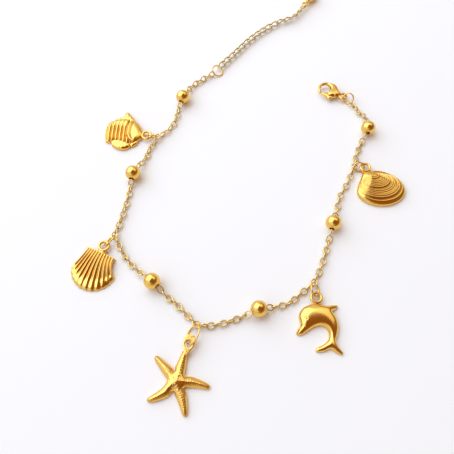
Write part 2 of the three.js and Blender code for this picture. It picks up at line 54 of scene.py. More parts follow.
# ---- driving dimensions, in millimetres ----
BEAD = {"radius": 2.0, "hole": 0.6, "lip": 0.12}
LINK = {"half_length": 0.98, "half_width": 0.7, "wire": 0.19, "pitch": 1.6}
CURB = {"half_length": 1.52, "half_width": 0.86, "wire": 0.27, "pitch": 2.5, "twist": 42}
RING_WIRE = 0.2
SAW_CUT = 2.2  # degrees of a jump ring that the saw took away
END_TURNS = {0: -40, 1: -50, 2: -44, 3: -72, 4: -64}  # degrees, by how many links are left to the free end
EYE = {"radius": 1.2, "wire": 0.34, "height": 0.95}
CHAIN_HEIGHT = 0.95
CLIMB = 1.75
EXTENDER_HEIGHT = 0.92
LINE_GAP = 0.3  # from a bead, link or ring to where a chain's line starts
FIRST_LINK = {"past_bead": 0.39, "past_ring": 0.61}
LINK_REST = {"flat": 0.5, "rise_on_edge": 0.42}  # the height of a link's middle
LINK_SWAY = {"wave": 8, "roll": 6, "sideways": 0.06}
CURB_SWAY = 7
CHAIN_SEED = 11
EXTENDER_SEED = 5
RIM_INSETS = (0.02, 0.06, 0.13, 0.22)
STAR_ARMS = [
    {"angle": -73, "length": 7.55, "bend": 0.2},
    {"angle": -10, "length": 7.45, "bend": 0.4},
    {"angle": 76, "length": 7.1, "bend": 0.0},
    {"angle": 133, "length": 7.45, "bend": 0.0},
    {"angle": 213, "length": 7.4, "bend": 0.55},
]
# An arm's half width at each share of its length.
ARM_WIDTHS = ((0.42, 1.19), (0.6, 1.0), (0.77, 0.83), (0.9, 0.64), (0.975, 0.38))
STAR_CROTCH = 2.2
LONG_ARM = {"angle": 76, "hole": 0.9, "tongue": 1.3, "past_hole": 1.0}
HOOK = {"x": 5.7, "inner": 1.42, "outer": 2.15, "stretch": 1.14}
PIVOT = np.array([2.4, 0.95])
CLASP_MIDDLE = 1.2
SLOT = {"half_height": 0.66, "back": 1.02, "reach": 2.95, "steps": 14}

# ---- the scene's own sizes, in metres and degrees ----
FLOOR = {"half_size": 3.0, "height": -0.00003}
CAMERA = {"distance": 0.123, "elevation": 63, "sensor": 36, "focal_to_width": 482.0 / 454.0}

# ---- places on the sheet, as in the part's source; only the clasp ring is drawn smaller than there ----
BEADS = {
    "bead_1": (-12.8, 41.4, -104),
    "bead_2": (-25.0, 15.1, -98),
    "bead_3": (-17.8, -15.4, -43),
    "bead_4": (7.4, -22.2, 14),
    "bead_5": (26.8, 0.2, 72),
    "bead_6": (39.5, 30.1, 78),
}
CHARM_RINGS = {
    "fish_ring": {"link": (-19.4, 27.5, 1.4), "eye": (-22.3, 28.3, 1.2), "half_width": 1.2, "roll": 63},
    "scallop_ring": {"link": (-28.2, -2.9, 1.0), "eye": (-30.3, -5.5, 1.0), "half_width": 1.05, "roll": 48},
    "starfish_ring": {"link": (-6.9, -25.7, 1.2), "eye": (-8.6, -30.2, 1.35), "half_width": 1.7, "roll": 39},
    "dolphin_ring": {
        "link": (20.7, -15.5, 1.25), "eye": (21.0, -18.9, 1.15), "half_width": 1.35, "roll": -42,
    },
    "clam_ring": {"link": (34.3, 17.7, 1.05), "eye": (37.0, 17.6, 1.05), "half_width": 1.2, "roll": 44},
}
END_RINGS = {
    "clasp_ring": {"x": 35.4, "y": 41.5, "half_length": 1.45, "half_width": 1.45, "roll": 46, "heading": -30},
    "extender_ring": {"x": -2.9, "y": 52.6, "half_length": 1.6, "half_width": 1.6, "roll": 30, "heading": 50},
}
STRETCHES = [
    {"from": "extender_ring", "to": "bead_1", "via": [(-5.4, 50.7), (-8.0, 48.7), (-10.4, 46.5)]},
    {"from": "bead_1", "to": "fish_ring", "via": [(-14.1, 37.4), (-14.6, 34.4), (-16.1, 30.9)]},
    {"from": "fish_ring", "to": "bead_2", "via": [(-21.2, 24.2), (-22.2, 21.0)]},
    {"from": "bead_2", "to": "scallop_ring", "via": [(-25.5, 11.6), (-26.1, 7.4), (-26.9, 3.0)]},
    {"from": "scallop_ring", "to": "bead_3", "via": [(-26.5, -6.2), (-24.8, -9.0), (-22.1, -11.8)]},
    {"from": "bead_3", "to": "starfish_ring", "via": [(-14.7, -18.3), (-11.6, -21.0)]},
    {"from": "starfish_ring", "to": "bead_4", "via": [(-3.8, -25.8), (-0.4, -25.1), (3.0, -23.9)]},
    {"from": "bead_4", "to": "dolphin_ring", "via": [(11.6, -21.3), (14.6, -20.4), (17.0, -18.5)]},
    {"from": "dolphin_ring", "to": "bead_5", "via": [(22.4, -12.3), (23.9, -8.6), (25.2, -4.8)]},
    {"from": "bead_5", "to": "clam_ring", "via": [(28.4, 4.6), (29.6, 8.6), (31.8, 12.4)]},
    {"from": "clam_ring", "to": "bead_6", "via": [(35.5, 21.8), (37.3, 25.8)]},
    {"from": "bead_6", "to": "clasp_ring", "via": [(39.7, 34.4), (38.0, 36.9)]},
]
EXTENDER_ROUTE = [
    (-1.8, 54.7), (1.9, 59.2), (6.3, 64.8), (10.8, 69.4),
    (15.8, 73.1), (20.2, 75.0), (22.5, 77.0), (24.7, 80.1),
]
DROP = {"x": 25.6, "y": 81.4, "heading": 57, "radius": 1.5, "eye_radius": 0.8, "eye_wire": 0.28}
FISH = {"x": -22.5, "y": 28.35, "turn": -11}
SCALLOP = {"x": -30.5, "y": -5.8, "turn": -18}
STARFISH = {"x": -11.0, "y": -38.1, "turn": 0}
DOLPHIN = {"x": 21.0, "y": -19.2, "turn": 0}
CLAM = {"x": 37.3, "y": 17.5, "turn": 0}
CLASP = {"x": 34.0, "y": 42.3, "turn": 150}

BEAD_1_LOW, BEAD_1_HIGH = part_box("bead_1")
BEAD_1_MIDDLE = (np.array(BEAD_1_LOW) + np.array(BEAD_1_HIGH)) / 2 / MM
SHEET_ORIGIN = np.array([BEAD_1_MIDDLE[0] - BEADS["bead_1"][0], BEAD_1_MIDDLE[1] - BEADS["bead_1"][1], 0.0])

# ---- shells: a shell is (points, faces, shade), where shade from 0 to 1 marks painted shade in the hollows ----


def shell_of(points, faces, shade=None):
    points = np.asarray(points, dtype=float)
    if shade is None:
        shade = np.zeros(len(points))
    return points, list(faces), np.asarray(shade, dtype=float)


def merged(shells):
    points, faces, shades, start = [], [], [], 0
    for one_points, one_faces, one_shade in shells:
        points.append(one_points)
        faces.extend(tuple(i + start for i in face) for face in one_faces)
        shades.append(one_shade)
        start += len(one_points)
    return np.concatenate(points), faces, np.concatenate(shades)


def moved(shell, x=0.0, y=0.0, z=0.0, turn=0.0):
    points, faces, shade = shell
    c, s = math.cos(math.radians(turn)), math.sin(math.radians(turn))
    rotation = np.array([[c, -s, 0], [s, c, 0], [0, 0, 1]])
    return points @ rotation.T + np.array([x, y, z]), faces, shade


def smoothstep(low, high, value):
    t = np.clip((value - low) / (high - low), 0, 1)
    return t * t * (3 - 2 * t)


def unit(vectors):
    return vectors / np.maximum(np.linalg.norm(vectors, axis=-1, keepdims=True), 1e-12)


def tube_faces(rows, sides, closed):
    """The faces of a tube of rows of points. An open tube is capped at both ends."""
    faces = []
    for i in range(rows if closed else rows - 1):
        j = (i + 1) % rows
        for k in range(sides):
            m = (k + 1) % sides
            faces.append((i * sides + k, j * sides + k, j * sides + m, i * sides + m))
    if not closed:
        last = (rows - 1) * sides
        faces.append(tuple(range(sides)))
        faces.append(tuple(reversed(range(last, last + sides))))
    return [tuple(reversed(face)) for face in faces]


def wire(centres, radius, sides, up, closed=True):
    """A round wire along points, whose section is turned by up, a vector that is never along the wire."""
    centres = np.asarray(centres, dtype=float)
    if closed:
        along = np.roll(centres, -1, axis=0) - np.roll(centres, 1, axis=0)
    else:
        along = np.gradient(centres, axis=0)
    along = unit(along)
    side = unit(np.cross(np.broadcast_to(up, along.shape), along))
    top = np.cross(along, side)
    turn = np.arange(sides) * 2 * math.pi / sides
    radius = np.broadcast_to(radius, len(centres))[:, None, None]
    ring = np.cos(turn)[None, :, None] * side[:, None] + np.sin(turn)[None, :, None] * top[:, None]
    points = (centres[:, None] + radius * ring).reshape(-1, 3)
    return shell_of(points, tube_faces(len(centres), sides, closed))


def oval_points(half_length, half_width, steps, start=0.0, end=360.0, closed=True):
    t = np.radians(np.linspace(start, end, steps, endpoint=not closed))
    return np.stack([half_length * np.cos(t), half_width * np.sin(t), np.zeros(steps)], axis=1)


def lathe(profile, steps):
    """Turns (along, radius) pairs about the X axis. A profile that doesn't end where it starts is capped."""
    profile = np.asarray(profile, dtype=float)
    turn = np.arange(steps) * 2 * math.pi / steps
    rows = []
    for along, radius in profile:
        rows.append(np.stack([np.full(steps, along), radius * np.cos(turn), radius * np.sin(turn)], axis=1))
    points = np.concatenate(rows)
    if np.allclose(profile[0], profile[-1]):
        return shell_of(points[:-steps], tube_faces(len(profile) - 1, steps, True))
    return shell_of(points, tube_faces(len(profile), steps, False))


# ---- curves ----


def catmull_rom(points, closed, per_span):
    """A centripetal Catmull-Rom curve through points, as the part's own tubes follow."""
    points = [np.asarray(p, dtype=float) for p in points]
    count = len(points)
    spans = count if closed else count - 1
    out = []
    for i in range(spans):
        if closed:
            p0, p1, p2, p3 = (points[(i + k) % count] for k in (-1, 0, 1, 2))
        else:
            p1, p2 = points[i], points[i + 1]
            p0 = points[i - 1] if i > 0 else 2 * p1 - p2
            p3 = points[i + 2] if i + 2 < count else 2 * p2 - p1
        gaps = [max(np.linalg.norm(b - a), 1e-6) ** 0.5 for a, b in ((p0, p1), (p1, p2), (p2, p3))]
        m1 = gaps[1] * ((p1 - p0) / gaps[0] - (p2 - p0) / (gaps[0] + gaps[1]) + (p2 - p1) / gaps[1])
        m2 = gaps[1] * ((p2 - p1) / gaps[1] - (p3 - p1) / (gaps[1] + gaps[2]) + (p3 - p2) / gaps[2])
        for t in np.arange(per_span) / per_span:
            out.append(
                (2 * t**3 - 3 * t**2 + 1) * p1
                + (t**3 - 2 * t**2 + t) * m1
                + (3 * t**2 - 2 * t**3) * p2
                + (t**3 - t**2) * m2
            )
    if not closed:
        out.append(points[-1])
    return np.array(out)


def resampled(points, step, closed=True):
    """The same line with evenly spaced points."""
    line = np.concatenate([points, points[:1]]) if closed else points
    length = np.concatenate([[0], np.cumsum(np.linalg.norm(np.diff(line, axis=0), axis=1))])
    count = max(3, round(length[-1] / step))
    places = np.linspace(0, length[-1], count, endpoint=not closed)
    return np.stack([np.interp(places, length, line[:, i]) for i in range(line.shape[1])], axis=1)


def along_line(points, places):
    """Positions and directions at distances along a line, going straight on past its ends."""
    length = np.concatenate([[0], np.cumsum(np.linalg.norm(np.diff(points, axis=0), axis=1))])
    step = 0.2

    def at(place):
        inside = np.clip(place, 0, length[-1])
        found = np.stack([np.interp(inside, length, points[:, i]) for i in range(3)], axis=-1)
        first = unit(points[1] - points[0])
        last = unit(points[-1] - points[-2])
        found = found + np.minimum(place, 0)[:, None] * first
        return found + np.maximum(place - length[-1], 0)[:, None] * last

    places = np.asarray(places, dtype=float)
    return at(places), unit(at(places + step) - at(places - step)), length[-1]


# ---- reliefs: a flat-backed or two-sided form over an outline ----


def distance_to(loops, points):
    """The distance from each point to the nearest of the closed loops."""
    best = np.full(len(points), np.inf)
    for loop in loops:
        start = loop
        edge = np.roll(loop, -1, axis=0) - loop
        size = np.maximum((edge**2).sum(axis=1), 1e-12)
        for first in range(0, len(points), 4000):
            block = points[first : first + 4000]
            offset = block[:, None] - start[None]
            t = np.clip((offset * edge[None]).sum(axis=2) / size[None], 0, 1)
            gap = np.linalg.norm(offset - t[..., None] * edge[None], axis=2).min(axis=1)
            best[first : first + 4000] = np.minimum(best[first : first + 4000], gap)
    return best


def inside(loop, points):
    """Which points lie inside a closed loop."""
    x, y = points[:, 0], points[:, 1]
    result = np.zeros(len(points), dtype=bool)
    previous = loop[-1]
    for corner in loop:
        crosses = (corner[1] > y) != (previous[1] > y)
        with np.errstate(divide="ignore", invalid="ignore"):
            at = (previous[0] - corner[0]) * (y - corner[1]) / (previous[1] - corner[1]) + corner[0]
        result ^= crosses & (x < at)
        previous = corner
    return result


def within(loops, points):
    """Which points lie inside the first loop and outside the others."""
    result = inside(loops[0], points)
    for hole in loops[1:]:
        result &= ~inside(hole, points)
    return result


def counter_clockwise(loop):
    x, y = loop[:, 0], loop[:, 1]
    area = (x * np.roll(y, -1) - np.roll(x, -1) * y).sum()
    return loop if area > 0 else loop[::-1]


def inset(loop, depth):
    """Points a little inside a counter-clockwise loop."""
    along = unit(np.roll(loop, -1, axis=0) - np.roll(loop, 1, axis=0))
    return loop + depth * np.stack([-along[:, 1], along[:, 0]], axis=1)


class Swelling:
    """The height of a round, inflated form over an outline: a strip of it has a round section."""

    def __init__(self, loops, cell):
        low = loops[0].min(axis=0) - 2 * cell
        high = loops[0].max(axis=0) + 2 * cell
        self.low, self.cell = low, cell
        self.shape = tuple(int(n) for n in np.ceil((high - low) / cell).astype(int) + 1)
        xs = low[0] + cell * np.arange(self.shape[0])
        ys = low[1] + cell * np.arange(self.shape[1])
        grid = np.stack(np.meshgrid(xs, ys, indexing="ij"), axis=-1).reshape(-1, 2)
        held = within(loops, grid)
        depth = np.zeros(len(grid))
        depth[held] = distance_to(loops, grid[held])
        depth = depth.reshape(self.shape)
        film = np.zeros(self.shape)
        mask = depth > 0.5 * cell
        rounds = int(1.2 * (depth.max() / cell) ** 2) + 200
        for _ in range(rounds):
            around = np.zeros(self.shape)
            around[1:-1, 1:-1] = (
                film[2:, 1:-1] + film[:-2, 1:-1] + film[1:-1, 2:] + film[1:-1, :-2] + cell**2
            ) / 4
            film = np.where(mask, around, 0)
        ratio = np.where(depth > 1.4 * cell, film / np.maximum(depth, 1e-9), 0)
        known = depth > 1.4 * cell
        for _ in range(6):
            total = np.zeros(self.shape)
            count = np.zeros(self.shape)
            for dx, dy in ((1, 0), (-1, 0), (0, 1), (0, -1), (1, 1), (-1, -1), (1, -1), (-1, 1)):
                total += np.roll(np.roll(ratio * known, dx, 0), dy, 1)
                count += np.roll(np.roll(known, dx, 0), dy, 1)
            fresh = ~known & (count > 0)
            ratio[fresh] = total[fresh] / count[fresh]
            known |= fresh
        self.ratio = ratio

    def at(self, points, depth):
        place = (points - self.low) / self.cell
        corner = np.clip(np.floor(place).astype(int), 0, np.array(self.shape) - 2)
        f = place - corner
        i, j = corner[:, 0], corner[:, 1]
        value = (
            self.ratio[i, j] * (1 - f[:, 0]) * (1 - f[:, 1])
            + self.ratio[i + 1, j] * f[:, 0] * (1 - f[:, 1])
            + self.ratio[i, j + 1] * (1 - f[:, 0]) * f[:, 1]
            + self.ratio[i + 1, j + 1] * f[:, 0] * f[:, 1]
        )
        return np.sqrt(np.maximum(2 * value * depth, 0))


def filled(flat, edges, loops):
    """Counter-clockwise triangles over the points, inside the first loop and outside the others."""
    corners = [Vector(p) for p in flat]
    vertices, _, triangles, origins, _, _ = delaunay_2d_cdt(corners, edges, [], 0, 1e-7, True)
    if len(vertices) != len(flat):
        raise RuntimeError(f"an outline crosses itself: {len(flat)} points became {len(vertices)}")
    order = np.array([o[0] for o in origins])
    triangles = order[np.array(triangles)]
    kept = within(loops, flat[triangles].mean(axis=1))
    return [tuple(int(i) for i in t) for t in triangles[kept]]


def loop_edges(loops):
    edges, start = [], 0
    for loop in loops:
        count = len(loop)
        edges += [(start + i, start + (i + 1) % count) for i in range(count)]
        start += count
    return edges


def triangulated(loops, spacing):
    """Points and triangles that fill the outline, with rows close to its edge where the form curves most."""
    points = list(loops)
    edges = loop_edges(loops)
    rim_count = len(edges)
    for depth in RIM_INSETS:
        for loop in loops:
            row = inset(loop, depth)
            points.append(row[distance_to(loops, row) > 0.93 * depth])
    low, high = loops[0].min(axis=0), loops[0].max(axis=0)
    grid = []
    for j, y in enumerate(np.arange(low[1], high[1], spacing * math.sqrt(3) / 2)):
        x = np.arange(low[0] + (j % 2) * spacing / 2, high[0], spacing)
        grid.append(np.stack([x, np.full(len(x), y)], axis=1))
    grid = np.concatenate(grid)
    grid = grid[within(loops, grid)]
    points.append(grid[distance_to(loops, grid) > RIM_INSETS[-1] + 0.6 * spacing])
    flat = np.concatenate(points)
    return flat, filled(flat, edges, loops), rim_count


def relief(loops, height, spacing, wall=0.35, two_sided=False):
    """A form over an outline. height(points, depth) gives (rise above the wall, shade) inside the outline.

    One-sided, it stands on z = 0 with a wall round it. Two-sided, it is the same on both sides of z = 0.
    """
    loops = [counter_clockwise(loops[0])] + [counter_clockwise(hole)[::-1] for hole in loops[1:]]
    flat, triangles, rim_count = triangulated(loops, spacing)
    depth = distance_to(loops, flat)
    depth[:rim_count] = 0
    rise, shade = height(flat, depth)
    top = np.column_stack([flat, wall + rise])
    count = len(flat)
    if two_sided:
        lower = np.column_stack([flat, -wall - rise])
        points = np.concatenate([top, lower])
        faces = list(triangles) + [tuple(i + count for i in reversed(t)) for t in triangles]
        shade = np.concatenate([shade, shade])
    else:
        under_loops = [inset(loop, 0.06) for loop in loops]
        under = np.column_stack([np.concatenate(under_loops), np.zeros(rim_count)])
        foot = np.column_stack([flat[:rim_count], np.full(rim_count, 0.06)])
        points = np.concatenate([top, foot, under])
        faces = list(triangles)
        shade = np.concatenate([shade, np.zeros(2 * rim_count)])
    start = 0
    for loop in loops:
        size = len(loop)
        for i in range(size):
            a, b = start + i, start + (i + 1) % size
            if two_sided:
                faces.append((b, a, a + count, b + count))
            else:
                faces.append((b, a, count + a, count + b))
                faces.append((count + b, count + a, count + rim_count + a, count + rim_count + b))
        start += size
    if not two_sided:
        base = filled(np.concatenate(under_loops), loop_edges(under_loops), under_loops)
        faces += [tuple(count + rim_count + i for i in reversed(t)) for t in base]
    return shell_of(points, faces, shade)


def stood_on_floor(top, faces, shade, rim):
    """Closes a surface down to the floor, given its rim's points in counter-clockwise order."""
    count = len(top)
    foot = top[rim].copy()
    foot[:, 2] = 0
    faces = list(faces)
    for k in range(len(rim)):
        m = (k + 1) % len(rim)
        faces.append((rim[m], rim[k], count + k, count + m))
    base = filled(foot[:, :2], loop_edges([foot]), [foot[:, :2]])
    faces += [tuple(count + i for i in reversed(t)) for t in base]
    return shell_of(np.concatenate([top, foot]), faces, np.concatenate([shade, np.zeros(len(rim))]))


def smooth_loop(points, step=0.12, per_span=12):
    return counter_clockwise(resampled(catmull_rom(points, True, per_span), step))


def rounded(share):
    """A quarter circle's height: 0 at share 0, and 1 from share 1 on."""
    return np.sqrt(np.clip(1 - (1 - np.minimum(share, 1)) ** 2, 0, 1))


def grain(points, size, seed=0.0):
    """Smooth noise from -1 to 1 over the sheet, with bumps of about the given size."""
    return np.array([noise.noise(Vector((x / size, y / size, seed))) for x, y in points[:, :2]])


# ---- materials ----


def node(tree, kind, **values):
    made = tree.nodes.new(kind)
    for name, value in values.items():
        if hasattr(made, name):
            setattr(made, name, value)
        else:
            made.inputs[name.replace("_", " ").title()].default_value = value
    return made


def noise_at(tree, where, scale, detail):
    made = node(tree, "ShaderNodeTexNoise", Scale=scale, Detail=detail)
    tree.links.new(where, made.inputs["Vector"])
    return made.outputs["Fac"]


def mixed(tree, factor, first, second):
    """A colour between two: each is a colour of its own or the output of another node."""
    made = node(tree, "ShaderNodeMixRGB")
    tree.links.new(factor, made.inputs["Fac"])
    for socket, value in (("Color1", first), ("Color2", second)):
        if isinstance(value, tuple):
            made.inputs[socket].default_value = (*value, 1)
        else:
            tree.links.new(value, made.inputs[socket])
    return made.outputs["Color"]


def gold_material(name, colour, painted_shade_colour, roughness, grain_depth):
    """Polished plating: painted shade darkens the colour where the shade attribute marks the hollows, and
    fine marks break up the gloss.
    """
    material = bpy.data.materials.new(name)
    material.use_nodes = True
    tree = material.node_tree
    surface = tree.nodes["Principled BSDF"]
    surface.inputs["Metallic"].default_value = 1.0
    link = tree.links.new
    where = node(tree, "ShaderNodeTexCoord").outputs["Object"]

    darker = tuple(0.86 * channel for channel in colour)
    tone = mixed(tree, noise_at(tree, where, 260.0, 3.0), colour, darker)
    # Painted shade: where the shade attribute is high, the colour goes to the painted shade colour.
    groove = node(tree, "ShaderNodeAttribute", attribute_name="shade").outputs["Fac"]
    link(mixed(tree, groove, tone, painted_shade_colour), surface.inputs["Base Color"])

    gloss = node(tree, "ShaderNodeMapRange")
    gloss.inputs["To Min"].default_value = 0.6 * roughness
    gloss.inputs["To Max"].default_value = 1.4 * roughness
    link(noise_at(tree, where, 1500.0, 4.0), gloss.inputs["Value"])
    link(gloss.outputs["Result"], surface.inputs["Roughness"])

    bump = node(tree, "ShaderNodeBump")
    bump.inputs["Strength"].default_value = 0.25
    bump.inputs["Distance"].default_value = grain_depth * MM
    link(noise_at(tree, where, 3800.0, 2.0), bump.inputs["Height"])
    link(bump.outputs["Normal"], surface.inputs["Normal"])
    return material


# The second colour of each material is its painted shade colour for the hollows.
GOLD = gold_material("polished_gold", (0.93, 0.58, 0.14), (0.48, 0.22, 0.04), 0.17, 0.03)
SATIN_GOLD = gold_material("satin_gold", (0.92, 0.56, 0.14), (0.42, 0.15, 0.02), 0.24, 0.05)
CHAIN_GOLD = gold_material("chain_gold", (0.8, 0.57, 0.21), (0.4, 0.2, 0.07), 0.14, 0.02)
PALE_CHAIN_GOLD = gold_material("pale_chain_gold", (0.78, 0.64, 0.38), (0.4, 0.2, 0.07), 0.18, 0.02)


# ---- pieces ----


def mesh_of(name, points, faces):
    mesh = bpy.data.meshes.new(name)
    mesh.from_pydata(((points + SHEET_ORIGIN) * MM).tolist(), [], faces)
    return mesh


def object_of(name, data):
    made = bpy.data.objects.new(name, data)
    bpy.context.scene.collection.objects.link(made)
    return made


def make_piece(name, shells, material, nodes, body=ANKLET, sharp=38):
    points, faces, shade = merged(shells)
    mesh = mesh_of(name, points, faces)
    mesh.validate()
    mesh.polygons.foreach_set("use_smooth", [True] * len(mesh.polygons))
    mesh.set_sharp_from_angle(angle=math.radians(sharp))
    attribute = mesh.attributes.new("shade", "FLOAT", "POINT")
    attribute.data.foreach_set("value", shade)
    mesh.materials.append(material)
    piece = object_of(name, mesh)
    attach(piece, body)
    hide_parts(*nodes)
    return piece


def eye_shell(x=0.0, z=EYE["height"], radius=EYE["radius"], thickness=EYE["wire"]):
    centres = oval_points(radius, radius, 40) + np.array([x, 0.0, z])
    return wire(centres, thickness, 14, (0, 0, 1))


def bead_shell():
    radius, hole, lip = BEAD["radius"], BEAD["hole"], BEAD["lip"]
    face = math.sqrt(radius**2 - (hole + lip) ** 2)
    start = math.asin((hole + lip) / radius)
    mouth = [(0.9, hole), (0.25, hole), (0.08, hole + 0.02), (0.01, hole + 0.07)]
    profile = [(depth - face, width) for depth, width in mouth]
    for t in np.linspace(start, math.pi - start, 34):
        profile.append((-radius * math.cos(t), radius * math.sin(t)))
    profile += [(face - depth, width) for depth, width in reversed(mouth)]
    profile.append(profile[0])
    return lathe(profile, 56)


def make_beads():
    for name, (x, y, heading) in BEADS.items():
        bead = moved(bead_shell(), x, y, BEAD["radius"], heading)
        make_piece(name + "_round", [bead], GOLD, [name])


def link_shell(centre, direction, roll, size=LINK, steps=22, sides=9, twist=0.0):
    """An oval link: roll turns it about its length away from lying flat, and twist bends its two sides."""
    points = oval_points(size["half_length"], size["half_width"], steps)
    angle = math.radians(roll) + math.radians(twist) * points[:, 0] / size["half_length"]
    level = unit(np.cross((0, 0, 1), direction))
    upward = np.cross(direction, level)
    side = np.cos(angle)[:, None] * level + np.sin(angle)[:, None] * upward
    centres = centre + points[:, :1] * direction + points[:, 1:2] * side
    face = -math.sin(math.radians(roll)) * level + math.cos(math.radians(roll)) * upward
    return wire(centres, size["wire"], sides, face)


def stretch_end(place, towards):
    """Where the chain's line starts, and how far on the first link's middle is."""
    if place in BEADS:
        x, y, _ = BEADS[place]
        reach = BEAD["radius"] + LINE_GAP
        first = FIRST_LINK["past_bead"]
        z = CLIMB
    elif place in CHARM_RINGS:
        x, y, z = CHARM_RINGS[place]["link"]
        reach = LINK["half_length"] + LINK["wire"] + LINE_GAP
        first = LINK["pitch"] - reach
        z = CHAIN_HEIGHT
    else:
        ring = END_RINGS[place]
        x, y = ring["x"], ring["y"]
        reach = ring["half_width"] + RING_WIRE + LINE_GAP
        first = ring["half_length"] + FIRST_LINK["past_ring"] - reach
        z = CHAIN_HEIGHT
    away = unit(np.array([towards[0] - x, towards[1] - y]))
    return np.array([x + reach * away[0], y + reach * away[1], z]), first


def lifted_clear(shell):
    """The same shell, raised just enough to stay above the surface."""
    points, faces, shade = shell
    return points + np.array([0.0, 0.0, max(0.0, -points[:, 2].min())]), faces, shade


def links_of(stretch, random):
    start, first = stretch_end(stretch["from"], stretch["via"][0])
    end, last = stretch_end(stretch["to"], stretch["via"][-1])
    points = [start] + [np.array([x, y, CHAIN_HEIGHT]) for x, y in stretch["via"]] + [end]
    line = catmull_rom(points, False, 24)
    length = along_line(line, [0.0])[2]
    count = round((length - first - last) / LINK["pitch"]) + 1
    places = np.linspace(first, length - last, count)
    middles, directions, _ = along_line(line, places)
    near_start = 90.0
    if stretch["to"] in CHARM_RINGS and count % 2 == 0:
        near_start = 0.0
    if stretch["from"] in END_RINGS:
        near_start = END_RINGS[stretch["from"]]["roll"] + 90
    shells = []
    for i in range(count):
        wave = LINK_SWAY["wave"] * math.sin(1.3 * i + places[0])
        roll = near_start + 90 * (i % 2) + wave + random.uniform(-LINK_SWAY["roll"], LINK_SWAY["roll"])
        rest = LINK_REST["flat"] + LINK_REST["rise_on_edge"] * abs(math.sin(math.radians(roll)))
        middle = middles[i] + np.array([0, 0, rest - CHAIN_HEIGHT])
        sideways = random.uniform(-LINK_SWAY["sideways"], LINK_SWAY["sideways"])
        direction = unit(directions[i] + sideways * np.array([-directions[i][1], directions[i][0], 0]))
        shells.append(lifted_clear(link_shell(middle, direction, roll)))
    return shells


def make_chain():
    random = np.random.default_rng(CHAIN_SEED)
    for number, stretch in enumerate(STRETCHES, start=1):
        name = f"chain_{number}"
        make_piece(name + "_links", links_of(stretch, random), CHAIN_GOLD, [name], sharp=60)


def make_extender():
    ring = END_RINGS["extender_ring"]
    ends = [(ring["x"], ring["y"])] + EXTENDER_ROUTE + [(DROP["x"], DROP["y"])]
    line = catmull_rom([(x, y, EXTENDER_HEIGHT) for x, y in ends], False, 24)
    length = along_line(line, [0.0])[2]
    hold = CURB["half_length"] - CURB["wire"]
    first = ring["half_length"] - RING_WIRE + hold
    last = DROP["eye_radius"] - DROP["eye_wire"] + hold
    count = round((length - first - last) / CURB["pitch"]) + 1
    middles, directions, _ = along_line(line, np.linspace(first, length - last, count))
    random = np.random.default_rng(EXTENDER_SEED)
    shells = []
    for i in range(count):
        left = count - 1 - i
        turned = END_TURNS.get(left, 0)
        roll = turned + random.uniform(-CURB_SWAY, CURB_SWAY)
        rise = 0.75 * abs(math.sin(math.radians(turned))) * (CURB["half_width"] - 0.3)
        middle = middles[i] + np.array([0, 0, rise])
        shells.append(link_shell(middle, directions[i], roll, CURB, 36, 12, CURB["twist"]))
    make_piece("extender_links", shells, PALE_CHAIN_GOLD, ["extender_chain"], sharp=60)


def ring_shell(start, end, half_width, roll, cut_at):
    """A jump ring of wire through two places, with the fine saw cut where it was closed."""
    along = end - start
    half_length = np.linalg.norm(along) / 2
    start_at, end_at = cut_at + SAW_CUT / 2, cut_at + 360 - SAW_CUT / 2
    points = oval_points(half_length, half_width, 64, start_at, end_at, False)
    forward = unit(along)
    level = unit(np.array([-along[1], along[0], 0]))
    upward = np.cross(forward, level)
    c, s = math.cos(math.radians(roll)), math.sin(math.radians(roll))
    side, face = c * level + s * upward, -s * level + c * upward
    centres = (start + end) / 2 + points[:, :1] * forward + points[:, 1:2] * side
    return wire(centres, RING_WIRE, 14, face, closed=False)


def make_rings():
    for number, (name, ring) in enumerate(CHARM_RINGS.items(), start=1):
        start, end = np.array(ring["link"]), np.array(ring["eye"])
        shell = ring_shell(start, end, ring["half_width"], ring["roll"], 70)
        make_piece(name + "_wire", [shell], GOLD, [name])
        before = next(one for one in STRETCHES if one["to"] == name)["via"][-1]
        after = next(one for one in STRETCHES if one["from"] == name)["via"][0]
        direction = unit(np.array([after[0] - before[0], after[1] - before[1], 0.0]))
        carrier = link_shell(start, direction, 0, steps=32, sides=12)
        node_name = f"charm_link_{number}"
        make_piece(node_name + "_wire", [carrier], CHAIN_GOLD, [node_name])
    for name, ring in END_RINGS.items():
        height = ring["half_width"] * math.sin(math.radians(ring["roll"])) + RING_WIRE
        heading = math.radians(ring["heading"])
        reach = ring["half_length"] * np.array([math.cos(heading), math.sin(heading), 0])
        middle = np.array([ring["x"], ring["y"], height])
        shell = ring_shell(middle - reach, middle + reach, ring["half_width"], ring["roll"], 100)
        make_piece(name + "_wire", [shell], GOLD, [name])


# ---- charms: each in its own frame, as in the part's source ----


def neck_shell(corners, swell=0.85, wall=0.45):
    """The solder between a charm and its eye."""
    neck = smooth_loop(corners)
    form = Swelling([neck], 0.08)
    return relief([neck], lambda p, d: (swell * form.at(p, d), np.zeros(len(p))), 0.16, wall=wall)


